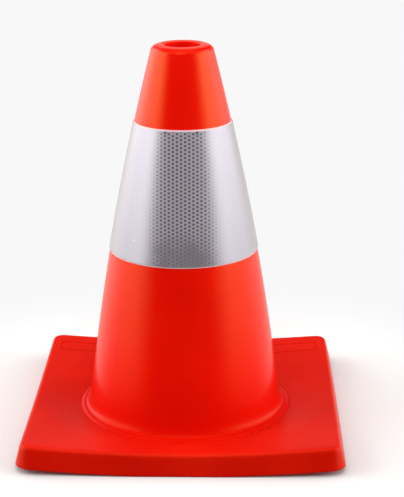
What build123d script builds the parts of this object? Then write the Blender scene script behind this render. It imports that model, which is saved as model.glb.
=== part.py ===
from build123d import *
import os
from math import atan, degrees

# Traffic cone with a weighted square base and a slip-on reflective collar.
# Millimetres, +Z up. The origin is on the cone's axis, at the level of the flat underside.
# The front of the object faces -Y and the collar's seam is at the back, on +Y.

# ---- Driving dimensions -------------------------------------------------------------------
HEIGHT = 300.0  # underside to the lip of the mouth

BASE_BOTTOM_WIDTH = 248.4
BASE_TOP_WIDTH = 240.4
BASE_HEIGHT = 16.4  # at the middle of each side
BASE_CORNER_RADIUS = 13.0  # in plan, at the underside
BASE_WALL = 4.6  # thickness of the plate and of the skirt
BASE_EDGE_ROUND = 2.6
RIM_LEVEL_MARGIN = 1.0
DISH_SLOPE = 0.115  # rise per millimetre away from the axis: the pliable base curls upwards
DISH_TURN = 118.0  # within this radius the top dips more and more steeply towards the cone
DISH_DIP = 3.0  # how far the dip takes the top below the plain slope, at the seat
CURL_START = 128.0  # the underside is flat within this radius
RIB_WIDTH = 3.2
RIB_COUNT = 8
RIB_GROUND_GAP = 2.0

SEAT_RADIUS = 85.3
FLANGE_RADIUS = 85.25  # outer edge of the cone's foot, flush with the base around it
SEAT_LEVEL = 6.6  # top of the seat that carries the cone's foot
HUB_BORE_RADIUS = 75.2
HUB_OUTER_RADIUS = 90.0

CONE_ROOT_RADIUS = 76.0  # cone wall, carried down to the level of the base's top
CONE_TOP_RADIUS = 23.1  # cone wall, carried up to the level of the lip
CONE_BULGE = 4.9  # how far the wall stands outside a straight cone at mid-height
CONE_WALL = 3.0
FLARE_TOP = 20.0  # the concave flare runs from here down to the foot
FOOT_TOP = 10.5  # the flare levels out here, on the foot's soft rim
FOOT_RIM_RADIUS = 80.7  # outside this radius the rim rolls down to the base
SPIGOT_OUTER_RADIUS = 75.0
SPIGOT_BOTTOM = 1.6

MOUTH_RADIUS = 13.8
MOUTH_DEPTH = 12.0
MOUTH_ROUND = 1.6
LIP_RADIUS = 17.0  # crest of the lip
SHOULDER_DROP = 4.6  # the shoulder starts this far below the lip
INNER_TAPER_DEPTH = 20.0  # thick mouth ring blends into the thin wall over this height

COLLAR_LOW = 139.9
COLLAR_HEIGHT = 101.6
COLLAR_CLEARANCE = 0.05
WELD_GAP = 0.02  # bond line between the two sheets of the collar
BACKING_THICKNESS = 0.35
FILM_THICKNESS = 0.45
FILM_MARGIN = 1.1  # backing left showing above and below the film
FILM_SEAM_GAP = 1.0

PANEL_LENGTH = 222.0  # blank moulded panel along the back edge of the base
PANEL_DEPTH = 16.0
PANEL_CENTRE_Y = 97.0
PANEL_LINE_WIDTH = 0.9
PANEL_LINE_DEPTH = 0.6
PANEL_CORNER_RADIUS = 2.0

# ---- Worked out from the driving dimensions -------------------------------------------------
WALL_SPAN = HEIGHT - BASE_HEIGHT
SKIRT_DRAFT = degrees(atan((BASE_BOTTOM_WIDTH - BASE_TOP_WIDTH) / 2 / BASE_HEIGHT))
BLOCK_HEIGHT = 2 * BASE_HEIGHT  # rough block that the dished surfaces are cut from
FAR_RADIUS = BASE_BOTTOM_WIDTH
COLLAR_HIGH = COLLAR_LOW + COLLAR_HEIGHT


def dish_top(radius):
    """Level of the base's top surface at a distance from the axis."""
    inward = max(0.0, DISH_TURN - radius) / (DISH_TURN - SEAT_RADIUS)
    return BASE_HEIGHT + DISH_SLOPE * (radius - BASE_TOP_WIDTH / 2) - DISH_DIP * inward**2


def dish_bottom(radius):
    """Level of the skirt's lower edge: on the floor at mid-side, raised at the corners."""
    return max(0.0, DISH_SLOPE * (radius - CURL_START))


def wall_radius(level):
    """Outer radius of the cone's slightly convex wall."""
    part_way = (level - BASE_HEIGHT) / WALL_SPAN
    straight = CONE_ROOT_RADIUS + (CONE_TOP_RADIUS - CONE_ROOT_RADIUS) * part_way
    return straight + 4 * CONE_BULGE * part_way * (1 - part_way)


def wall_slope(level):
    """Change of the wall's radius per millimetre of height."""
    part_way = (level - BASE_HEIGHT) / WALL_SPAN
    return (CONE_TOP_RADIUS - CONE_ROOT_RADIUS + 4 * CONE_BULGE * (1 - 2 * part_way)) / WALL_SPAN


def wall_curve(low, high, offset=0.0):
    """Control points (radius, level) of the exact parabola that the wall follows."""
    middle = (low + high) / 2
    control = wall_radius(low) + wall_slope(low) * (middle - low)
    return (
        (wall_radius(low) + offset, low),
        (control + offset, middle),
        (wall_radius(high) + offset, high),
    )


def dish_curve(offset=0.0):
    """Draws the base's top from the hub bore out to the far radius, and returns its two ends."""
    turn_level = dish_top(DISH_TURN) + offset
    middle = (HUB_BORE_RADIUS + DISH_TURN) / 2
    start = (HUB_BORE_RADIUS, dish_top(HUB_BORE_RADIUS) + offset)
    end = (FAR_RADIUS, dish_top(FAR_RADIUS) + offset)
    Bezier(start, (middle, turn_level - DISH_SLOPE * (DISH_TURN - middle)), (DISH_TURN, turn_level))
    Line((DISH_TURN, turn_level), end)
    return start, end


# ---- Base -----------------------------------------------------------------------------------
with BuildPart() as underside_cavity:
    cavity_width = BASE_BOTTOM_WIDTH - 2 * BASE_WALL
    with BuildSketch():
        RectangleRounded(cavity_width, cavity_width, BASE_CORNER_RADIUS - BASE_WALL)
    extrude(amount=BLOCK_HEIGHT, taper=SKIRT_DRAFT)
    with BuildSketch(Plane.XZ):
        with BuildLine():
            Polyline(
                (HUB_OUTER_RADIUS, 0),
                (FAR_RADIUS, 0),
                (FAR_RADIUS, dish_top(FAR_RADIUS) - BASE_WALL),
                (DISH_TURN, dish_top(DISH_TURN) - BASE_WALL),
                (HUB_OUTER_RADIUS, dish_top(HUB_OUTER_RADIUS) - BASE_WALL),
                close=True,
            )
        make_face()
    revolve(axis=Axis.Z, mode=Mode.INTERSECT)
    with BuildSketch(Plane.XY.offset(RIB_GROUND_GAP)):
        with PolarLocations(BASE_BOTTOM_WIDTH / 2, RIB_COUNT):
            Rectangle(BASE_BOTTOM_WIDTH, RIB_WIDTH)
    extrude(amount=BLOCK_HEIGHT, mode=Mode.SUBTRACT)

with BuildPart() as panel_outline:
    with BuildSketch():
        with Locations((0, PANEL_CENTRE_Y)):
            RectangleRounded(PANEL_LENGTH, PANEL_DEPTH, PANEL_CORNER_RADIUS)
            RectangleRounded(
                PANEL_LENGTH - 2 * PANEL_LINE_WIDTH,
                PANEL_DEPTH - 2 * PANEL_LINE_WIDTH,
                PANEL_CORNER_RADIUS - PANEL_LINE_WIDTH,
                mode=Mode.SUBTRACT,
            )
    extrude(amount=BLOCK_HEIGHT)
    with BuildSketch(Plane.XZ):
        with BuildLine():
            floor_start, floor_end = dish_curve(-PANEL_LINE_DEPTH)
            Polyline(
                floor_end,
                (FAR_RADIUS, BLOCK_HEIGHT),
                (HUB_BORE_RADIUS, BLOCK_HEIGHT),
                floor_start,
            )
        make_face()
    revolve(axis=Axis.Z, mode=Mode.INTERSECT)

with BuildPart() as base:
    with BuildSketch():
        RectangleRounded(BASE_BOTTOM_WIDTH, BASE_BOTTOM_WIDTH, BASE_CORNER_RADIUS)
    extrude(amount=BLOCK_HEIGHT, taper=SKIRT_DRAFT)
    with BuildSketch(Plane.XZ):
        with BuildLine():
            top_start, top_end = dish_curve()
            Polyline(
                top_end,
                (FAR_RADIUS, dish_bottom(FAR_RADIUS)),
                (CURL_START, 0),
                (HUB_BORE_RADIUS, 0),
                top_start,
            )
        make_face()
    revolve(axis=Axis.Z, mode=Mode.INTERSECT)
    # The rim is the only set of edges whose middles are near or above the mid-side top level.
    top_rim = base.edges().filter_by(lambda edge: (edge @ 0.5).Z > BASE_HEIGHT - RIM_LEVEL_MARGIN)
    fillet(top_rim, radius=BASE_EDGE_ROUND)
    add(underside_cavity.part, mode=Mode.SUBTRACT)
    with BuildSketch(Plane.XY.offset(SEAT_LEVEL)):
        Circle(SEAT_RADIUS)
    extrude(amount=BLOCK_HEIGHT, mode=Mode.SUBTRACT)
    add(panel_outline.part, mode=Mode.SUBTRACT)
base.part.label = "base"

# ---- Cone body ------------------------------------------------------------------------------
with BuildPart() as cone_body:
    foot_edge_level = dish_top(SEAT_RADIUS)
    seat_slope = DISH_SLOPE + 2 * DISH_DIP / (DISH_TURN - SEAT_RADIUS)  # of the base's top at the foot
    shoulder_level = HEIGHT - SHOULDER_DROP
    mouth_bottom = HEIGHT - MOUTH_DEPTH
    inner_top = mouth_bottom - INNER_TAPER_DEPTH
    with BuildSketch(Plane.XZ):
        with BuildLine():
            # Outer wall, from the shoulder down to the flare.
            Bezier(*wall_curve(FLARE_TOP, shoulder_level))
            # Concave flare out to the foot.
            flare_turn = FLARE_TOP - FOOT_TOP
            Bezier(
                (wall_radius(FLARE_TOP), FLARE_TOP),
                (wall_radius(FLARE_TOP) - wall_slope(FLARE_TOP) * flare_turn, FOOT_TOP),
                (FOOT_RIM_RADIUS, FOOT_TOP),
            )
            # Soft rim of the foot, rolling down into the dip of the base around it.
            Spline(
                (FOOT_RIM_RADIUS, FOOT_TOP),
                (FLANGE_RADIUS, foot_edge_level),
                tangents=((1, 0), (1, seat_slope)),
            )
            Polyline(
                (FLANGE_RADIUS, foot_edge_level),
                (FLANGE_RADIUS, SEAT_LEVEL),
                (SPIGOT_OUTER_RADIUS, SEAT_LEVEL),
                (SPIGOT_OUTER_RADIUS, SPIGOT_BOTTOM),
                (SPIGOT_OUTER_RADIUS - CONE_WALL, SPIGOT_BOTTOM),
                (wall_radius(FLARE_TOP) - CONE_WALL, FLARE_TOP),
            )
            # Inner wall and the thick ring below the mouth.
            Bezier(*wall_curve(FLARE_TOP, inner_top, -CONE_WALL))
            Polyline(
                (wall_radius(inner_top) - CONE_WALL, inner_top),
                (MOUTH_RADIUS, mouth_bottom),
                (MOUTH_RADIUS, HEIGHT - MOUTH_ROUND),
            )
            # Lip: rounded out of the mouth to its crest, then a soft shoulder down to the wall.
            Spline(
                (MOUTH_RADIUS, HEIGHT - MOUTH_ROUND),
                (LIP_RADIUS, HEIGHT),
                tangents=((0, 1), (1, 0)),
            )
            Spline(
                (LIP_RADIUS, HEIGHT),
                (wall_radius(shoulder_level), shoulder_level),
                tangents=((1, 0), (-wall_slope(shoulder_level), -1)),
            )
        make_face()
    revolve(axis=Axis.Z)
cone_body.part.label = "cone_body"


# ---- Collar ---------------------------------------------------------------------------------
def sleeve_profile(low, high, inner_offset, outer_offset):
    """Closed section of a thin sleeve that follows the cone's wall."""
    inner = wall_curve(low, high, inner_offset)
    outer = wall_curve(low, high, outer_offset)
    Bezier(*inner)
    Line(inner[-1], outer[-1])
    Bezier(*outer)
    Line(outer[0], inner[0])


backing_inner = COLLAR_CLEARANCE
backing_outer = backing_inner + BACKING_THICKNESS
film_inner = backing_outer + WELD_GAP
film_outer = film_inner + FILM_THICKNESS

with BuildPart() as collar_backing:
    with BuildSketch(Plane.XZ):
        with BuildLine():
            sleeve_profile(COLLAR_LOW, COLLAR_HIGH, backing_inner, backing_outer)
        make_face()
    revolve(axis=Axis.Z)
collar_backing.part.label = "collar_backing"

with BuildPart() as collar_prism_film:
    with BuildSketch(Plane.XZ):
        with BuildLine():
            sleeve_profile(COLLAR_LOW + FILM_MARGIN, COLLAR_HIGH - FILM_MARGIN, film_inner, film_outer)
        make_face()
    revolve(axis=Axis.Z)
    # The film is a wrap whose ends meet in a narrow seam at the back.
    with BuildSketch(Plane.XY.offset(COLLAR_LOW)):
        with Locations((0, CONE_ROOT_RADIUS / 2)):
            Rectangle(FILM_SEAM_GAP, CONE_ROOT_RADIUS)
    extrude(amount=COLLAR_HEIGHT, mode=Mode.SUBTRACT)
collar_prism_film.part.label = "collar_prism_film"

# ---- Export ---------------------------------------------------------------------------------
os.makedirs("parts", exist_ok=True)
for piece in (base, cone_body, collar_backing, collar_prism_film):
    export_step(piece.part, f"parts/{piece.part.label}.step")
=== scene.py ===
"""Looks for the traffic cone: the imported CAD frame, finished Blender pieces around it, light and camera."""

from math import atan, atan2, cos, floor, hypot, pi, radians, sin, sqrt

import bmesh
import bpy
from mathutils import Matrix, Vector
from mathutils.geometry import delaunay_2d_cdt


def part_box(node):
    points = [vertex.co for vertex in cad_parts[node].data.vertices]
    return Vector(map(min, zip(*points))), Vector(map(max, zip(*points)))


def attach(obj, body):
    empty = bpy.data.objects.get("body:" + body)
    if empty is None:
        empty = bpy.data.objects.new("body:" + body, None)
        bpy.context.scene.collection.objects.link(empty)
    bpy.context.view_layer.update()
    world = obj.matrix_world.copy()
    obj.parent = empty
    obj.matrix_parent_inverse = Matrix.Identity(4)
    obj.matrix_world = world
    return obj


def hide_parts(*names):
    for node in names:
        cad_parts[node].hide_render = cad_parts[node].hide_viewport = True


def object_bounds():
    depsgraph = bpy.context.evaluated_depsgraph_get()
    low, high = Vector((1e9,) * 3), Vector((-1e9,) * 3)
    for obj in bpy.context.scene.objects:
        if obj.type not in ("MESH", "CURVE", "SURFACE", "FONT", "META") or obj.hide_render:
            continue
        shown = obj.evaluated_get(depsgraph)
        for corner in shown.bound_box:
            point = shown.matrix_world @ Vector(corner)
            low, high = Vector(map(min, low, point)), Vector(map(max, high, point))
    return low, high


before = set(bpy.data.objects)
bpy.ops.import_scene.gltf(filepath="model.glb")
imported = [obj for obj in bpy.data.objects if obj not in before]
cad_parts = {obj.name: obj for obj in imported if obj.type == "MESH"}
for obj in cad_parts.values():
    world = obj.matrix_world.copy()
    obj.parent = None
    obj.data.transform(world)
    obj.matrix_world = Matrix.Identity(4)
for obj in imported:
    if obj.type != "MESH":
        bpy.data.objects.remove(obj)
cad_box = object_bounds()

MM = 0.001

# ---- Sizes, in millimetres, the same design dimensions as the CAD --------------------------
HEIGHT = cad_box[1].z / MM
BASE_HALF_BOTTOM = cad_box[1].x / MM
BASE_HEIGHT = 16.4
SKIRT_LEAN = 4.0 / BASE_HEIGHT  # how far the skirt leans in per millimetre of height
BASE_CORNER_RADIUS = 13.0
BASE_WALL = 4.6
DISH_SLOPE = 0.115
DISH_TURN = 118.0
DISH_DIP = 3.0
CURL_START = 128.0
RIM_ROUND = 3.2
HUB_BORE_RADIUS = 75.2
HUB_OUTER_RADIUS = 90.0
SEAT_RADIUS = 85.3
SEAT_LEVEL = 6.6
RIB_COUNT = 8
RIB_HALF_WIDTH = 1.6
RIB_BOTTOM = 2.0

CONE_ROOT_RADIUS = 76.0
CONE_TOP_RADIUS = 23.1
CONE_BULGE = 4.9
CONE_WALL = 3.0
FLARE_TOP = 20.0
FOOT_TOP = 10.5
FOOT_RIM_RADIUS = 80.7
FLANGE_RADIUS = 85.25
SPIGOT_RADIUS = 75.0
SPIGOT_BOTTOM = 1.6
MOUTH_RADIUS = 13.8
LIP_RADIUS = 17.0
LIP_ROUND = 3.4
SHOULDER_ROUND = 2.8
MOUTH_ROUND = 1.4
MOUTH_ROUND_DEPTH = 1.6
SHOULDER_LEVEL = HEIGHT - 4.6
MOUTH_BOTTOM = HEIGHT - 12.0
INNER_TAPER_BOTTOM = HEIGHT - 32.0

COLLAR_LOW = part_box("collar_backing")[0].z / MM
COLLAR_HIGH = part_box("collar_backing")[1].z / MM
BACKING_INNER = 0.05
BACKING_OUTER = 0.40
FILM_INNER = 0.42
FILM_OUTER = 0.87
FILM_MARGIN = 1.1
SEAM_HALF_GAP = 0.5
CELL_PITCH = 2.93  # up a column of cells
COLUMN_STEP = 3.05  # from one column to the next, which sits half a cell lower
CELL_NET_HALF_WIDTH = 0.61
CELL_DEPTH = 0.018
CELL_DISH = 0.3  # how much shallower a cell is at its outline than at its centre, as a share
REACH_TOLERANCE = 0.001  # rounding allowance on a cell's outline, as a share of the whole cell
CUT_CELL_MARGIN = 0.35  # least distance from a cut cell's centre to the film's edge, as a share of the pitch
CELL_EDGE_CLEARANCE = 0.05  # least distance from an outlined cell's corner to the film's edge

PANEL_LENGTH = 222.0
PANEL_DEPTH = 16.0
PANEL_CENTRE_Y = 97.0
PANEL_LINE_WIDTH = 0.9
PANEL_LINE_DEPTH = 0.6

AROUND = 240  # columns around the cone and its sleeve
INNER_SHARE = 1 - 2 * CELL_NET_HALF_WIDTH / CELL_PITCH  # a cell's sunken part, as a share of the whole cell


def wall_radius(level):
    """Outer radius of the cone's slightly convex wall."""
    part_way = (level - BASE_HEIGHT) / (HEIGHT - BASE_HEIGHT)
    straight = CONE_ROOT_RADIUS + (CONE_TOP_RADIUS - CONE_ROOT_RADIUS) * part_way
    return straight + 4 * CONE_BULGE * part_way * (1 - part_way)


def wall_slope(level):
    """Change of the wall's radius per millimetre of height."""
    step = 0.01
    return (wall_radius(level + step) - wall_radius(level - step)) / (2 * step)


def dish_top(radius):
    """Level of the base's top surface, which dips more and more steeply towards the cone."""
    inward = max(0.0, DISH_TURN - radius) / (DISH_TURN - SEAT_RADIUS)
    plain = BASE_HEIGHT + DISH_SLOPE * (radius - BASE_HALF_BOTTOM + SKIRT_LEAN * BASE_HEIGHT)
    return plain - DISH_DIP * inward**2


def dish_bottom(radius):
    """Level of the skirt's lower edge."""
    return max(0.0, DISH_SLOPE * (radius - CURL_START))


# ---- Mesh helpers ---------------------------------------------------------------------------
def curve_points(controls, count):
    """Points on a quadratic or cubic Bezier curve, without its last point."""
    points = [Vector(c) for c in controls]
    found = []
    for i in range(count):
        t = i / count
        level = points
        while len(level) > 1:
            level = [a.lerp(b, t) for a, b in zip(level, level[1:])]
        found.append(level[0])
    return found


def soft_profile(corners, steps, spans):
    """Closed (radius, level) outline with each corner rounded. corners: (radius, level, rounding).

    steps is the number of points round a corner, spans the number added along each straight run.
    """
    outline = []
    count = len(corners)
    for i in range(count):
        before = Vector(corners[i - 1][:2])
        corner = Vector(corners[i][:2])
        after = Vector(corners[(i + 1) % count][:2])
        rounding = corners[i][2]
        if rounding == 0:
            outline.append(corner)
            start = end = corner
        else:
            start = corner + (before - corner).normalized() * rounding
            end = corner + (after - corner).normalized() * rounding
            outline += curve_points((start, corner, end), steps) + [end]
        following = Vector(corners[(i + 1) % count][:2])
        next_rounding = corners[(i + 1) % count][2]
        next_start = following + (corner - following).normalized() * next_rounding
        outline += [end.lerp(next_start, (k + 1) / (spans + 1)) for k in range(spans)]
    return outline


def make_object(name, bm, materials, body, replaced):
    """Turns a bmesh in millimetres into a finished piece that rides on a CAD body, in place of a CAD node."""
    bmesh.ops.recalc_face_normals(bm, faces=bm.faces)
    bmesh.ops.scale(bm, vec=(MM, MM, MM), verts=bm.verts)
    mesh = bpy.data.meshes.new(name)
    bm.to_mesh(mesh)
    bm.free()
    for material in materials:
        mesh.materials.append(material)
    mesh.shade_smooth()
    piece = bpy.data.objects.new(name, mesh)
    bpy.context.scene.collection.objects.link(piece)
    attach(piece, body)
    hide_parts(replaced)
    return piece


def ring_mesh(profiles, angles):
    """A closed ring: profiles[i] is the closed (radius, level) outline at angles[i]."""
    bm = bmesh.new()
    columns = []
    for profile, angle in zip(profiles, angles):
        columns.append([bm.verts.new((r * cos(angle), r * sin(angle), z)) for r, z in profile])
    for i, column in enumerate(columns):
        following = columns[(i + 1) % len(columns)]
        for j in range(len(column)):
            k = (j + 1) % len(column)
            bm.faces.new((column[j], following[j], following[k], column[k]))
    return bm


# ---- Material helpers -----------------------------------------------------------------------
class Graph:
    """Short calls for building one node material."""

    def __init__(self, name):
        self.material = bpy.data.materials.new(name)
        self.material.use_nodes = True
        self.nodes = self.material.node_tree.nodes
        self.links = self.material.node_tree.links
        self.shader = self.nodes["Principled BSDF"]
        self.place = self.nodes.new("ShaderNodeTexCoord").outputs["Object"]

    def link(self, source, target):
        self.links.new(source, target)

    def value(self, target, value):
        """Links a socket or sets a plain value."""
        if isinstance(value, bpy.types.NodeSocket):
            self.link(value, target)
        else:
            target.default_value = value

    def scaled(self, x, y, z):
        node = self.nodes.new("ShaderNodeVectorMath")
        node.operation = "MULTIPLY"
        self.link(self.place, node.inputs[0])
        node.inputs[1].default_value = (x, y, z)
        return node.outputs[0]

    def noise(self, scale, detail=3.0, roughness=0.5, place=None):
        node = self.nodes.new("ShaderNodeTexNoise")
        node.inputs["Scale"].default_value = scale
        node.inputs["Detail"].default_value = detail
        node.inputs["Roughness"].default_value = roughness
        self.link(place or self.place, node.inputs["Vector"])
        return node.outputs["Fac"]

    def remap(self, source, low, high, to_low, to_high):
        """Eases a value from one range into another. low may be above high."""
        node = self.nodes.new("ShaderNodeMapRange")
        node.interpolation_type = "SMOOTHSTEP"
        self.link(source, node.inputs["Value"])
        for key, value in zip(("From Min", "From Max", "To Min", "To Max"), (low, high, to_low, to_high)):
            node.inputs[key].default_value = value
        return node.outputs["Result"]

    def math(self, operation, a, b):
        node = self.nodes.new("ShaderNodeMath")
        node.operation = operation
        self.value(node.inputs[0], a)
        self.value(node.inputs[1], b)
        return node.outputs[0]

    def mix(self, factor, a, b):
        node = self.nodes.new("ShaderNodeMix")
        node.data_type = "RGBA"
        self.value(node.inputs["Factor"], factor)
        self.value(node.inputs[6], a)
        self.value(node.inputs[7], b)
        return node.outputs[2]

    def bump(self, height, strength, distance, normal=None):
        node = self.nodes.new("ShaderNodeBump")
        node.inputs["Strength"].default_value = strength
        node.inputs["Distance"].default_value = distance
        self.link(height, node.inputs["Height"])
        if normal is not None:
            self.link(normal, node.inputs["Normal"])
        return node.outputs["Normal"]

    def set(self, **inputs):
        for key, value in inputs.items():
            self.value(self.shader.inputs[key.replace("_", " ")], value)


def rgba(red, green, blue):
    return (red, green, blue, 1.0)


def cone_pvc():
    """Glossy red-orange PVC: soft mottling, faint vertical flow, a duller foot with painted shade, and a
    painted highlight on the rim of the mouth.
    """
    g = Graph("cone_pvc")
    cloud = g.noise(22.0, 4.0)
    flow = g.noise(34.0, 2.0, 0.4, g.scaled(1.0, 1.0, 0.12))
    skin = g.noise(900.0, 2.0)
    colour = g.mix(g.remap(cloud, 0.3, 0.7, 0.0, 1.0), rgba(0.85, 0.0040, 0.0006), rgba(0.90, 0.0056, 0.0009))
    colour = g.mix(g.remap(flow, 0.4, 0.8, 0.0, 0.4), colour, rgba(0.92, 0.0085, 0.0014))
    # The foot of the cone is painted darker, a painted shade where the flare catches less light, and it
    # mirrors less.
    split = g.nodes.new("ShaderNodeSeparateXYZ")
    g.link(g.place, split.inputs[0])
    colour = g.mix(g.remap(split.outputs["Z"], 0.070, 0.015, 0.0, 1.0), colour, rgba(0.66, 0.0042, 0.0006))
    gloss = g.remap(split.outputs["Z"], 0.012, 0.085, 0.11, 0.5)
    # The rim of the mouth is painted paler orange, a painted highlight along the top of the lip, and made
    # dull so that it mirrors less.
    rim = g.remap(split.outputs["Z"], 0.2990, 0.2998, 0.0, 0.9)
    colour = g.mix(rim, colour, rgba(0.95, 0.100, 0.066))
    dull_rim = g.remap(split.outputs["Z"], 0.2970, 0.2985, 0.0, 0.4)
    gloss = g.math("SUBTRACT", gloss, dull_rim)
    normal = g.bump(skin, 0.08, 0.0002)
    normal = g.bump(g.noise(80.0, 2.0), 0.10, 0.001, normal)
    g.set(Base_Color=colour, Roughness=g.remap(flow, 0.3, 0.7, 0.205, 0.235), Normal=normal, IOR=1.5)
    g.set(Specular_IOR_Level=gloss, Specular_Tint=rgba(1.0, 0.70, 0.20))
    return g.material


def base_pvc():
    """The base's PVC: a shade deeper and more matte, pitted by the mould, scuffed and dusty on top."""
    g = Graph("base_pvc")
    cloud = g.noise(16.0, 5.0)
    pits = g.noise(420.0, 4.0, 0.65)
    colour = g.mix(g.remap(cloud, 0.3, 0.7, 0.0, 1.0), rgba(0.64, 0.0050, 0.0010), rgba(0.72, 0.0080, 0.0016))
    scuff = g.remap(g.noise(120.0, 6.0, 0.75, g.scaled(1.0, 0.25, 1.0)), 0.60, 0.74, 0.0, 0.25)
    colour = g.mix(scuff, colour, rgba(0.84, 0.040, 0.016))
    rough = g.math("ADD", g.remap(pits, 0.3, 0.7, 0.36, 0.46), g.math("MULTIPLY", scuff, 0.25))
    normal = g.bump(pits, 0.14, 0.0003)
    normal = g.bump(g.noise(45.0, 3.0), 0.12, 0.002, normal)
    g.set(Base_Color=colour, Roughness=rough, Normal=normal, IOR=1.5)
    g.set(Specular_IOR_Level=0.24, Specular_Tint=rgba(1.0, 0.60, 0.22))
    return g.material


def white_sheet():
    """Backing sheet of the collar: soft white PVC with a pink cast all over."""
    g = Graph("collar_white_pvc")
    cloud = g.noise(70.0, 4.0)
    colour = g.mix(cloud, rgba(0.78, 0.56, 0.58), rgba(0.84, 0.68, 0.70))
    g.set(Base_Color=colour, Roughness=g.remap(cloud, 0.3, 0.7, 0.30, 0.42), IOR=1.5)
    g.set(Normal=g.bump(g.noise(600.0, 2.0), 0.12, 0.0002))
    return g.material


def film_pvc(g, colour, metallic):
    """Finishes a film material: gloss, and a painted reflection of the foot and floor in front, a patchy
    greyer band near the lower edge.
    """
    split = g.nodes.new("ShaderNodeSeparateXYZ")
    g.link(g.place, split.inputs[0])
    low = COLLAR_LOW * MM
    # Painted reflection: near its lower edge the film is greyed in patches, with more metal, for the foot and
    # floor mirrored in front.
    band = g.remap(split.outputs["Z"], low + 0.036, low + 0.010, 0.0, 1.0)
    patches = g.remap(g.noise(48.0, 2.0), 0.30, 0.65, 0.30, 0.80)
    painted_reflection_share = g.math("MULTIPLY", band, patches)
    painted_reflection_colour = g.mix(painted_reflection_share, colour, rgba(0.40, 0.360, 0.405))
    shine = g.remap(painted_reflection_share, 0.0, 1.0, metallic, 0.52)
    # Seen at a slant, cells and weld lines alike are painted one flat lavender with evened metal: a painted
    # reflection that stands in for the gloss of the clear face, which hides them.
    facing = g.nodes.new("ShaderNodeLayerWeight").outputs["Facing"]
    slant = g.remap(facing, 0.06, 0.16, 0.0, 0.92)
    g.set(Base_Color=g.mix(slant, painted_reflection_colour, rgba(0.470, 0.443, 0.498)))
    difference = g.math("SUBTRACT", 0.37, shine)
    g.set(Metallic=g.math("ADD", shine, g.math("MULTIPLY", slant, difference)), IOR=1.5)
    g.set(Coat_Weight=0.3, Coat_Roughness=0.14, Sheen_Weight=0.35, Sheen_Roughness=0.4)


def film_net():
    """Weld lines of the honeycomb: clear gloss over pale lavender grey."""
    g = Graph("collar_film_net")
    cloud = g.noise(60.0, 4.0)
    film_pvc(g, g.mix(cloud, rgba(0.505, 0.448, 0.512), rgba(0.555, 0.498, 0.562)), 0.25)
    g.set(Roughness=g.remap(cloud, 0.3, 0.7, 0.22, 0.25))
    g.set(Normal=g.bump(g.noise(700.0, 2.0), 0.02, 0.0002))
    return g.material


def film_cell():
    """Prism cells: a dull mirror under the clear face, dark where nothing bright stands before it."""
    g = Graph("collar_film_cell")
    fine = g.noise(420.0, 2.0)
    film_pvc(g, g.mix(fine, rgba(0.348, 0.322, 0.360), rgba(0.392, 0.365, 0.404)), 0.69)
    g.set(Roughness=0.24)
    return g.material


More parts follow.
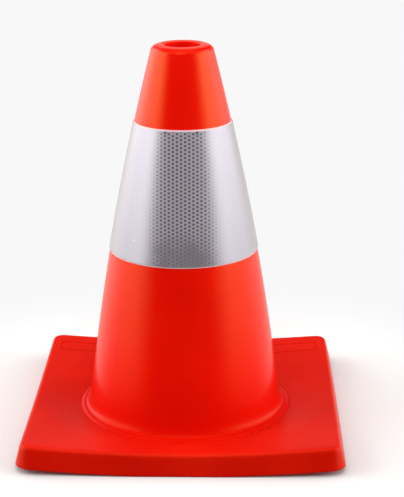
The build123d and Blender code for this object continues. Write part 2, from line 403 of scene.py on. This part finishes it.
# ---- Cone -----------------------------------------------------------------------------------
def cone_profile():
    """Closed outline of the cone's wall, from the foot up the outside and down the inside."""
    edge_level = dish_top(SEAT_RADIUS)
    seat_slope = DISH_SLOPE + 2 * DISH_DIP / (DISH_TURN - SEAT_RADIUS)
    outline = []
    # Underside of the foot, its outer edge flush with the base, and its soft bead.
    outline += [Vector((SPIGOT_RADIUS, SPIGOT_BOTTOM + 0.5))]
    outline += [Vector((SPIGOT_RADIUS, SEAT_LEVEL - 0.3)), Vector((SPIGOT_RADIUS, SEAT_LEVEL))]
    outline += [Vector((SPIGOT_RADIUS + 0.3, SEAT_LEVEL)), Vector((FLANGE_RADIUS - 0.6, SEAT_LEVEL))]
    outline += curve_points(
        ((FLANGE_RADIUS - 0.5, SEAT_LEVEL), (FLANGE_RADIUS, SEAT_LEVEL), (FLANGE_RADIUS, SEAT_LEVEL + 0.5)), 3
    )
    outline += curve_points(
        ((FLANGE_RADIUS, edge_level - 0.2), (FLANGE_RADIUS, edge_level), (FLANGE_RADIUS - 0.2, edge_level)), 3
    )
    outline += curve_points(
        (
            (FLANGE_RADIUS - 0.2, edge_level),
            (FLANGE_RADIUS - 1.7, edge_level - 1.5 * seat_slope),
            (FOOT_RIM_RADIUS + 1.5, FOOT_TOP),
            (FOOT_RIM_RADIUS, FOOT_TOP),
        ),
        12,
    )
    # Concave flare, then the wall up to the shoulder.
    flare_control = wall_radius(FLARE_TOP) - wall_slope(FLARE_TOP) * (FLARE_TOP - FOOT_TOP)
    outline += curve_points(
        ((FOOT_RIM_RADIUS, FOOT_TOP), (flare_control, FOOT_TOP), (wall_radius(FLARE_TOP), FLARE_TOP)),
        24,
    )
    rows = 56
    for i in range(rows):
        level = FLARE_TOP + (SHOULDER_LEVEL - FLARE_TOP) * i / rows
        outline.append(Vector((wall_radius(level), level)))
    # Shoulder and lip.
    shoulder = wall_radius(SHOULDER_LEVEL)
    outline += curve_points(
        (
            (shoulder, SHOULDER_LEVEL),
            (shoulder + wall_slope(SHOULDER_LEVEL) * SHOULDER_ROUND, SHOULDER_LEVEL + SHOULDER_ROUND),
            (LIP_RADIUS + LIP_ROUND, HEIGHT),
            (LIP_RADIUS, HEIGHT),
        ),
        14,
    )
    outline += curve_points(
        (
            (LIP_RADIUS, HEIGHT),
            (MOUTH_RADIUS + MOUTH_ROUND, HEIGHT),
            (MOUTH_RADIUS, HEIGHT - 0.4),
            (MOUTH_RADIUS, HEIGHT - MOUTH_ROUND_DEPTH),
        ),
        10,
    )
    # Bore, inner taper and inner wall.
    bore_rows = 4
    bore_depth = 9.8
    for i in range(bore_rows + 1):
        outline.append(Vector((MOUTH_RADIUS, HEIGHT - MOUTH_ROUND_DEPTH - bore_depth * i / bore_rows)))
    inner_top = wall_radius(INNER_TAPER_BOTTOM) - CONE_WALL
    outline += curve_points(
        (
            (MOUTH_RADIUS, MOUTH_BOTTOM),
            (MOUTH_RADIUS, MOUTH_BOTTOM - 4),
            (inner_top - 2, INNER_TAPER_BOTTOM + 5),
            (inner_top, INNER_TAPER_BOTTOM),
        ),
        12,
    )
    inner_rows = 36
    for i in range(inner_rows):
        level = INNER_TAPER_BOTTOM + (FLARE_TOP - INNER_TAPER_BOTTOM) * i / inner_rows
        outline.append(Vector((wall_radius(level) - CONE_WALL, level)))
    foot_inner = SPIGOT_RADIUS - CONE_WALL
    outline += [
        Vector((wall_radius(FLARE_TOP) - CONE_WALL, FLARE_TOP)),
        Vector((foot_inner - 0.7, (FLARE_TOP + SPIGOT_BOTTOM) / 2)),
        Vector((foot_inner, SPIGOT_BOTTOM + 0.5)),
        Vector((foot_inner + 0.4, SPIGOT_BOTTOM)),
        Vector((SPIGOT_RADIUS - 0.4, SPIGOT_BOTTOM)),
    ]
    return outline


def build_cone():
    angles = [2 * pi * i / AROUND for i in range(AROUND)]
    profile = cone_profile()
    bm = ring_mesh([profile] * AROUND, angles)
    return make_object("cone_shell", bm, [cone_pvc()], "cone", "cone_body")


# ---- Base -----------------------------------------------------------------------------------
def square_radius(angle, half_width, corner_radius):
    """Distance from the axis to a square with rounded corners, along an angle."""
    x, y = abs(cos(angle)), abs(sin(angle))
    longest = max(x, y)
    flat = half_width / longest
    inset = half_width - corner_radius
    if min(x, y) * flat <= inset:
        return flat
    # Where the ray meets the corner's arc, centred at (inset, inset).
    along = inset * (x + y)
    return along + sqrt(max(0.0, along * along - 2 * inset * inset + corner_radius * corner_radius))


def skirt_radius(angle, level, inset=0.0):
    """Distance from the axis to the drafted skirt at a level."""
    lean = SKIRT_LEAN * level
    return square_radius(angle, BASE_HALF_BOTTOM - inset - lean, BASE_CORNER_RADIUS - inset - lean)


def meet(angle, surface, inset=0.0):
    """Radius and level at which the skirt meets a surface given by level = surface(radius)."""
    radius = skirt_radius(angle, BASE_HEIGHT / 2, inset)
    for _ in range(6):
        radius = skirt_radius(angle, surface(radius), inset)
    return radius, surface(radius)


def base_profile(angle):
    rim_radius, rim_level = meet(angle, dish_top)
    foot_radius, foot_level = meet(angle, dish_bottom)
    inner_foot = meet(angle, dish_bottom, BASE_WALL)
    inner_rim = meet(angle, lambda radius: dish_top(radius) - BASE_WALL, BASE_WALL)
    dip_count = 9
    dip_span = DISH_TURN - SEAT_RADIUS
    dip_radii = [SEAT_RADIUS + dip_span * i / dip_count for i in range(1, dip_count)]
    dish_steps = [(radius, dish_top(radius), 0.0) for radius in dip_radii]
    corners = [
        (HUB_BORE_RADIUS, 0.0, 0.6),
        (HUB_BORE_RADIUS, SEAT_LEVEL, 0.4),
        (SEAT_RADIUS, SEAT_LEVEL, 0.3),
        (SEAT_RADIUS, dish_top(SEAT_RADIUS), 0.15),
        *dish_steps,
        (rim_radius, rim_level, RIM_ROUND),
        (foot_radius, foot_level, 0.9),
        (*inner_foot, 0.7),
        (*inner_rim, 1.5),
        (DISH_TURN - BASE_WALL, dish_top(DISH_TURN - BASE_WALL) - BASE_WALL, 0.0),
        (HUB_OUTER_RADIUS, dish_top(HUB_OUTER_RADIUS) - BASE_WALL, 1.0),
        (HUB_OUTER_RADIUS, 0.0, 0.6),
    ]
    return soft_profile(corners, steps=5, spans=6)


def base_angles():
    """Columns around the base, closer together at the rounded corners."""
    per_side = 44
    per_corner = 14
    half_corner = atan2(1, 1) - atan((BASE_HALF_BOTTOM - BASE_CORNER_RADIUS) / BASE_HALF_BOTTOM)
    angles = []
    for side in range(4):
        start = side * pi / 2 - pi / 4 + half_corner
        sweep = pi / 2 - 2 * half_corner
        angles += [start + sweep * i / per_side for i in range(per_side)]
        angles += [start + sweep + 2 * half_corner * i / per_corner for i in range(per_corner)]
    return angles


def rib_prism(angle):
    """One stiffening rib under the plate, running from the hub wall into the skirt."""
    inner = HUB_OUTER_RADIUS - 2.0
    half_wall = BASE_WALL * 0.5  # each end is buried half way into the wall it joins
    outer_foot, outer_level = meet(angle, dish_bottom, half_wall)
    curl_meets_rib = CURL_START + RIB_BOTTOM / DISH_SLOPE
    section = [(inner, RIB_BOTTOM)]
    if outer_foot > curl_meets_rib:
        section += [(curl_meets_rib, RIB_BOTTOM), (outer_foot, outer_level + 0.4)]
    else:
        section += [(outer_foot, RIB_BOTTOM)]
    top_outer = meet(angle, lambda radius: dish_top(radius) - half_wall, half_wall)
    section += [top_outer, (DISH_TURN, dish_top(DISH_TURN) - half_wall)]
    section += [(inner, dish_top(inner) - BASE_WALL * 0.6)]
    bm = bmesh.new()
    turn = Matrix.Rotation(angle, 3, "Z")
    sides = []
    for offset in (-RIB_HALF_WIDTH, RIB_HALF_WIDTH):
        sides.append([bm.verts.new(turn @ Vector((r, offset, z))) for r, z in section])
    bm.faces.new(sides[0])
    bm.faces.new(list(reversed(sides[1])))
    for i in range(len(section)):
        j = (i + 1) % len(section)
        bm.faces.new((sides[0][j], sides[0][i], sides[1][i], sides[1][j]))
    bmesh.ops.recalc_face_normals(bm, faces=bm.faces)
    return bm


def panel_line_solid():
    """Thin frame that cuts the blank panel's outline into the top of the base."""
    bm = bmesh.new()
    steps = 60
    above_base = 4.0
    half_x = PANEL_LENGTH / 2
    half_y = PANEL_DEPTH / 2

    def loop(grow):
        """Outline points, anticlockwise, with many points along the two long sides."""
        xs = [half_x * (2 * i / steps - 1) * (half_x + grow) / half_x for i in range(steps + 1)]
        lower = [(x, -half_y - grow) for x in xs]
        upper = [(x, half_y + grow) for x in reversed(xs)]
        return lower + upper

    loops = []
    for grow in (0.0, -PANEL_LINE_WIDTH):
        for lift in (-PANEL_LINE_DEPTH, above_base):
            ring = []
            for x, y in loop(grow):
                point_y = PANEL_CENTRE_Y + y
                level = dish_top(hypot(x, point_y)) + lift
                ring.append(bm.verts.new((x, point_y, level)))
            loops.append(ring)
    outer_low, outer_high, inner_low, inner_high = loops
    count = len(outer_low)
    for i in range(count):
        j = (i + 1) % count
        bm.faces.new((outer_low[i], outer_low[j], outer_high[j], outer_high[i]))
        bm.faces.new((inner_low[j], inner_low[i], inner_high[i], inner_high[j]))
        bm.faces.new((outer_low[j], outer_low[i], inner_low[i], inner_low[j]))
        bm.faces.new((outer_high[i], outer_high[j], inner_high[j], inner_high[i]))
    bmesh.ops.recalc_face_normals(bm, faces=bm.faces)
    return bm


def combined(target, tool, operation):
    """Applies one exact boolean of tool onto target and returns the result as a bmesh."""
    objects = []
    for bm in (target, tool):
        mesh = bpy.data.meshes.new("boolean_work")
        bm.to_mesh(mesh)
        bm.free()
        work = bpy.data.objects.new("boolean_work", mesh)
        bpy.context.scene.collection.objects.link(work)
        objects.append(work)
    modifier = objects[0].modifiers.new("boolean", "BOOLEAN")
    modifier.object = objects[1]
    modifier.operation = operation
    modifier.solver = "EXACT"
    shown = bpy.context.evaluated_depsgraph_get()
    result = bmesh.new()
    result.from_mesh(objects[0].evaluated_get(shown).to_mesh())
    for work in objects:
        mesh = work.data
        bpy.data.objects.remove(work)
        bpy.data.meshes.remove(mesh)
    return result


def build_base():
    angles = base_angles()
    bm = ring_mesh([base_profile(angle) for angle in angles], angles)
    bmesh.ops.recalc_face_normals(bm, faces=bm.faces)
    for i in range(RIB_COUNT):
        bm = combined(bm, rib_prism(2 * pi * i / RIB_COUNT), "UNION")
    bm = combined(bm, panel_line_solid(), "DIFFERENCE")
    piece = make_object("base_moulding", bm, [base_pvc()], "cone", "base")
    sharpen(piece, 40)
    return piece


def sharpen(piece, degrees_limit):
    """Keeps edges sharper than a limit from being smoothed over."""
    piece.data.set_sharp_from_angle(angle=radians(degrees_limit))


# ---- Collar ---------------------------------------------------------------------------------
def build_backing():
    """White carrier sleeve with soft edges, a full welded ring."""
    rows = 40
    soft_edge = 0.12
    rise = COLLAR_HIGH - COLLAR_LOW
    outer = []
    inner = []
    for i in range(rows + 1):
        level = COLLAR_LOW + rise * i / rows
        edge = soft_edge if i in (0, rows) else 0.0
        outer.append(Vector((wall_radius(level) + BACKING_OUTER - edge, level)))
        inner.append(Vector((wall_radius(level) + BACKING_INNER, level)))
    profile = outer + list(reversed(inner))
    angles = [2 * pi * i / AROUND for i in range(AROUND)]
    bm = ring_mesh([profile] * AROUND, angles)
    piece = make_object("collar_carrier", bm, [white_sheet()], "collar", "collar_backing")
    sharpen(piece, 50)
    return piece


class Sheet:
    """The flat film as it was cut: a sector of a ring that wraps onto the tapered wall."""

    def __init__(self, low, high):
        self.low = low
        self.high = high
        low_radius = wall_radius(low) + FILM_OUTER
        high_radius = wall_radius(high) + FILM_OUTER
        self.slant = hypot(high - low, low_radius - high_radius)
        self.sine = (low_radius - high_radius) / self.slant
        self.outer = low_radius / self.sine  # radius of the lower edge on the flat sheet
        self.inner = self.outer - self.slant
        seam = SEAM_HALF_GAP / (wall_radius((low + high) / 2) + FILM_OUTER)
        self.half_angle = (pi - seam) * self.sine

    def polar(self, point):
        """Distance from the sector's centre, and angle from its middle."""
        return hypot(point[0], point[1]), atan2(point[0], -point[1])

    def inside(self, point, margin):
        distance, angle = self.polar(point)
        sideways = (self.half_angle - abs(angle)) * distance
        return self.inner + margin <= distance <= self.outer - margin and sideways >= margin

    def wrapped(self, point, outwards):
        """Place on the cone of a point of the flat sheet. The sheet's middle is at the front."""
        distance, angle = self.polar(point)
        level = self.low + (self.outer - distance) / self.slant * (self.high - self.low)
        around = angle / self.sine - pi / 2
        radius = wall_radius(level) + outwards
        return Vector((radius * cos(around), radius * sin(around), level))

    def border(self):
        """The sector's outline in order, as flat points about one millimetre apart."""
        points = []
        arc_steps = 288
        side_steps = 60
        span = 2 * self.half_angle
        for i in range(arc_steps):
            points.append(self.flat(self.outer, -self.half_angle + span * i / arc_steps))
        for i in range(side_steps):
            points.append(self.flat(self.outer - self.slant * i / side_steps, self.half_angle))
        for i in range(arc_steps):
            points.append(self.flat(self.inner, self.half_angle - span * i / arc_steps))
        for i in range(side_steps):
            points.append(self.flat(self.inner + self.slant * i / side_steps, -self.half_angle))
        return points

    def flat(self, distance, angle):
        return Vector((distance * sin(angle), -distance * cos(angle)))


def nearest_cell(point):
    """Centre of the honeycomb cell that a flat point belongs to."""
    best = None
    column = floor(point[0] / COLUMN_STEP)
    for i in (column, column + 1):
        lift = 0.5 * (i % 2)
        j = round(point[1] / CELL_PITCH - lift)
        centre = Vector((i * COLUMN_STEP, (j + lift) * CELL_PITCH))
        if best is None or cell_reach(point, centre) < cell_reach(point, best):
            best = centre
    return best


def cell_reach(point, centre):
    """How far a point is out from a cell's centre, as 1 on the cell's outline."""
    across = abs(point[0] - centre[0]) / COLUMN_STEP
    up = abs(point[1] - centre[1]) / CELL_PITCH
    return max(2 * up, up + across * 1.5)


def cell_depth(point):
    """Depth of the film's face: zero on the weld net, sunken and slightly dished within a cell."""
    reach = cell_reach(point, nearest_cell(point))
    if reach > INNER_SHARE + REACH_TOLERANCE:
        return 0.0
    return CELL_DEPTH * (1 - CELL_DISH * min(1.0, reach / INNER_SHARE) ** 2)


def hexagon(centre, share):
    """Corners of a cell, drawn in towards its centre by a share."""
    across = COLUMN_STEP * 2 / 3
    corners = []
    for x, y in ((1, 0), (0.5, 0.5), (-0.5, 0.5), (-1, 0), (-0.5, -0.5), (0.5, -0.5)):
        corners.append(centre + Vector((x * across, y * CELL_PITCH)) * share)
    return corners


def honeycomb(sheet):
    """Centres of every cell that lies on the sheet, whole or cut a little by its edge."""
    columns = int(sheet.outer / COLUMN_STEP) + 1
    rows = int(sheet.outer / CELL_PITCH) + 1
    centres = []
    for i in range(-columns, columns + 1):
        for j in range(-rows, rows + 1):
            centre = Vector((i * COLUMN_STEP, (j + 0.5 * (i % 2)) * CELL_PITCH))
            if sheet.inside(centre, CUT_CELL_MARGIN * CELL_PITCH):
                centres.append(centre)
    return centres


def sheet_faces(points, edges, sheet):
    """Triangulates flat points inside the sheet's outline. Returns places, faces and where points went."""
    tolerance = 0.01
    flat, _, faces, origins, _, _ = delaunay_2d_cdt(points, edges, [], 0, tolerance)
    kept = []
    for face in faces:
        middle = sum((flat[i] for i in face), Vector((0, 0))) / len(face)
        if sheet.inside(middle, 0.0):
            kept.append((face, middle))
    found = {i: k for k, origin in enumerate(origins) for i in origin}
    return flat, kept, found


def build_film():
    """Honeycomb film: raised weld net, sunken prism cells, closed at its edges and seam."""
    sheet = Sheet(COLLAR_LOW + FILM_MARGIN, COLLAR_HIGH - FILM_MARGIN)
    border = sheet.border()
    border_edges = [(i, (i + 1) % len(border)) for i in range(len(border))]
    points = list(border)
    edges = list(border_edges)
    for centre in honeycomb(sheet):
        for share in (1.0, INNER_SHARE):
            first = len(points)
            corners = hexagon(centre, share)
            if all(sheet.inside(corner, CELL_EDGE_CLEARANCE) for corner in corners):
                points += corners
                edges += [(first + k, first + (k + 1) % 6) for k in range(6)]
        points.append(centre)
    bm = bmesh.new()
    flat, faces, found = sheet_faces(points, edges, sheet)
    outer = [bm.verts.new(sheet.wrapped(place, FILM_OUTER - cell_depth(place))) for place in flat]
    for face, middle in faces:
        made = bm.faces.new([outer[i] for i in face])
        made.material_index = 1 if cell_reach(middle, nearest_cell(middle)) < INNER_SHARE else 0
    # Inner face, with a plain grid of points, and the walls that close the sheet's edges.
    inner_points = list(border)
    spacing = 6.0
    count = int(sheet.outer / spacing)
    for i in range(-count, count + 1):
        for j in range(-count, count + 1):
            candidate = Vector((i * spacing, j * spacing))
            if sheet.inside(candidate, spacing / 2):
                inner_points.append(candidate)
    inner_flat, inner_faces, inner_found = sheet_faces(inner_points, border_edges, sheet)
    inner = [bm.verts.new(sheet.wrapped(place, FILM_INNER)) for place in inner_flat]
    for face, _ in inner_faces:
        bm.faces.new([inner[i] for i in reversed(face)])
    for i, j in border_edges:
        bm.faces.new((outer[found[i]], outer[found[j]], inner[inner_found[j]], inner[inner_found[i]]))
    outer_count = len(outer)
    piece = make_object(
        "collar_film", bm, [film_net(), film_cell()], "collar", "collar_prism_film"
    )
    even_gloss(piece.data, outer_count)
    return piece


def even_gloss(mesh, outer_count):
    """Shades the film's face with the wall's own normals, so that its clear front gloss stays even."""
    normals = []
    for polygon in mesh.polygons:
        on_face = all(i < outer_count for i in polygon.vertices)
        for i in polygon.vertices:
            place = mesh.vertices[i].co / MM
            radius = hypot(place.x, place.y)
            outwards = Vector((place.x / radius, place.y / radius, -wall_slope(place.z))).normalized()
            normals.append(outwards if on_face else polygon.normal)
    mesh.normals_split_custom_set(normals)


# ---- Studio ---------------------------------------------------------------------------------
BACKDROP = rgba(0.94, 0.94, 0.945)
LAMP_AIM_HEIGHT = 0.15  # metres, half way up the cone
FLOOR_HALF_SIZE = 9.0  # metres
FLOOR_GAP = 0.0002  # metres, keeps the floor from touching the base


def build_floor():
    """Pale floor that keeps the shadow near the cone, adds painted shade there, and fades into the backdrop
    further out.
    """
    g = Graph("studio_floor")
    # Painted shade: ambient occlusion darkens the floor's colour towards grey close to the base.
    contact = g.nodes.new("ShaderNodeAmbientOcclusion")
    contact.inputs["Distance"].default_value = 0.05
    contact.samples = 8
    cloud = g.noise(3.0, 3.0)
    pale = g.mix(cloud, rgba(0.83, 0.83, 0.83), rgba(0.86, 0.86, 0.86))
    g.set(Base_Color=g.mix(contact.outputs["AO"], rgba(0.50, 0.50, 0.50), pale), Roughness=0.9)
    g.set(Specular_IOR_Level=0.1)
    distance = g.nodes.new("ShaderNodeVectorMath")
    distance.operation = "LENGTH"
    g.link(g.place, distance.inputs[0])
    path = g.nodes.new("ShaderNodeLightPath")
    fade = g.remap(distance.outputs["Value"], 0.15, 0.34, 0.0, 1.0)
    backdrop = g.nodes.new("ShaderNodeEmission")
    backdrop.inputs["Color"].default_value = BACKDROP
    blend = g.nodes.new("ShaderNodeMixShader")
    g.link(g.math("MULTIPLY", fade, path.outputs["Is Camera Ray"]), blend.inputs["Fac"])
    g.link(g.shader.outputs[0], blend.inputs[1])
    g.link(backdrop.outputs[0], blend.inputs[2])
    g.link(blend.outputs[0], g.nodes["Material Output"].inputs["Surface"])
    bm = bmesh.new()
    bmesh.ops.create_grid(bm, x_segments=8, y_segments=8, size=FLOOR_HALF_SIZE)
    mesh = bpy.data.meshes.new("studio_floor")
    bm.to_mesh(mesh)
    bm.free()
    mesh.materials.append(g.material)
    ground = bpy.data.objects.new("studio_floor", mesh)
    ground.location.z = -FLOOR_GAP
    # The floor lights nothing: its glow would wash out the lower half of the cone.
    ground.visible_glossy = False
    ground.visible_diffuse = False
    bpy.context.scene.collection.objects.link(ground)


def softbox(name, azimuth, distance, height, width, tall, power):
    """Rectangular light that isn't mirrored. Azimuth is in degrees from the front, positive to the right."""
    light = bpy.data.lights.new(name, "AREA")
    light.shape = "RECTANGLE"
    light.size = width
    light.size_y = tall
    light.energy = power
    lamp = bpy.data.objects.new(name, light)
    turn = radians(azimuth)
    lamp.location = (distance * sin(turn), -distance * cos(turn), height)
    aim = Vector((0, 0, LAMP_AIM_HEIGHT)) - lamp.location
    lamp.rotation_euler = aim.to_track_quat("-Z", "Y").to_euler()
    lamp.visible_glossy = False
    bpy.context.scene.collection.objects.link(lamp)


class Tent:
    """Node calls for the light tent's brightness by direction."""

    def __init__(self, world):
        self.nodes = world.node_tree.nodes
        self.links = world.node_tree.links
        split = self.nodes.new("ShaderNodeSeparateXYZ")
        self.links.new(self.nodes.new("ShaderNodeTexCoord").outputs["Generated"], split.inputs[0])
        self.height = split.outputs["Z"]
        backwards = self.math("MULTIPLY", split.outputs["Y"], -1.0)
        self.azimuth = self.math("ARCTAN2", split.outputs["X"], backwards)

    def math(self, operation, a, b):
        node = self.nodes.new("ShaderNodeMath")
        node.operation = operation
        for target, value in zip(node.inputs, (a, b)):
            if isinstance(value, bpy.types.NodeSocket):
                self.links.new(value, target)
            else:
                target.default_value = value
        return node.outputs[0]

    def step(self, source, low, high):
        """Rises smoothly from 0 at low to 1 at high."""
        node = self.nodes.new("ShaderNodeMapRange")
        node.interpolation_type = "SMOOTHSTEP"
        self.links.new(source, node.inputs["Value"])
        node.inputs["From Min"].default_value = low
        node.inputs["From Max"].default_value = high
        return node.outputs["Result"]

    def wall(self, start, full, fade, end, strength):
        """A bright wall between four azimuths in degrees from the front."""
        rise = self.step(self.azimuth, radians(start), radians(full))
        fall = self.step(self.azimuth, radians(end), radians(fade))
        return self.math("MULTIPLY", self.math("MULTIPLY", rise, fall), strength)


def build_light():
    """A light tent: bright walls left and right, dark in front, and fills that only light, not shine."""
    world = bpy.data.worlds.new("studio")
    bpy.context.scene.world = world
    world.use_nodes = True
    tent = Tent(world)
    nodes = tent.nodes
    links = tent.links
    left = tent.wall(-170, -112, -74, -38, 3.3)
    right = tent.wall(38, 76, 104, 150, 3.0)
    above_floor = tent.step(tent.height, -0.35, 0.25)
    below_top = tent.step(tent.height, 0.85, 0.45)
    upright = tent.math("MULTIPLY", above_floor, below_top)
    walls = tent.math("MULTIPLY", tent.math("ADD", left, right), upright)
    behind = tent.step(tent.math("ABSOLUTE", tent.azimuth, 0.0), 1.6, 2.4)
    low_band = tent.math("ADD", tent.math("MULTIPLY", tent.step(tent.height, 0.26, 0.06), 0.66), 0.07)
    top = tent.math("MULTIPLY", tent.step(tent.height, 0.80, 0.94), 1.0)
    dim = tent.math("ADD", tent.math("MULTIPLY", behind, low_band), 0.03)
    bright = tent.math("ADD", walls, top)
    links.new(tent.math("ADD", bright, dim), nodes["Background"].inputs["Strength"])
    warm = nodes.new("ShaderNodeMix")
    warm.data_type = "RGBA"
    links.new(behind, warm.inputs["Factor"])
    warm.inputs[6].default_value = rgba(1.0, 1.0, 1.0)
    warm.inputs[7].default_value = rgba(1.0, 0.96, 0.90)
    links.new(warm.outputs[2], nodes["Background"].inputs["Color"])
    seen = nodes.new("ShaderNodeBackground")
    seen.inputs["Color"].default_value = BACKDROP
    path = nodes.new("ShaderNodeLightPath")
    choose = nodes.new("ShaderNodeMixShader")
    links.new(path.outputs["Is Camera Ray"], choose.inputs["Fac"])
    links.new(nodes["Background"].outputs[0], choose.inputs[1])
    links.new(seen.outputs[0], choose.inputs[2])
    links.new(choose.outputs[0], nodes["World Output"].inputs["Surface"])
    softbox("front_fill", 0, 1.5, 1.75, 1.2, 1.0, 23.0)
    softbox("left_fill", -80, 2.0, 1.2, 1.0, 1.0, 8.0)
    softbox("right_fill", 80, 2.0, 0.6, 1.0, 1.0, 11.0)


def build_camera():
    """Camera slightly to the right of the front, a little above the mouth, looking down at the cone."""
    place = (0.0418, -1.1543, 0.4971)
    pitch = radians(17.281)
    heading = radians(1.365)
    tilt = radians(0.26)
    focal = 1536.4
    frame_height = 497
    frame_width = 404
    data = bpy.data.cameras.new("camera")
    data.sensor_width = 36.0
    data.lens = focal * data.sensor_width / max(frame_height, frame_width)
    data.clip_start = 0.05
    data.clip_end = 50.0
    camera = bpy.data.objects.new("camera", data)
    camera.location = place
    look = Vector((-sin(heading) * cos(pitch), cos(heading) * cos(pitch), -sin(pitch)))
    roll = Matrix.Rotation(tilt, 4, look)
    camera.rotation_euler = (roll @ look.to_track_quat("-Z", "Y").to_matrix().to_4x4()).to_euler()
    bpy.context.scene.collection.objects.link(camera)
    bpy.context.scene.camera = camera


build_base()
build_cone()
build_backing()
build_film()
build_floor()
build_light()
build_camera()
bpy.context.scene.view_settings.view_transform = "Standard"
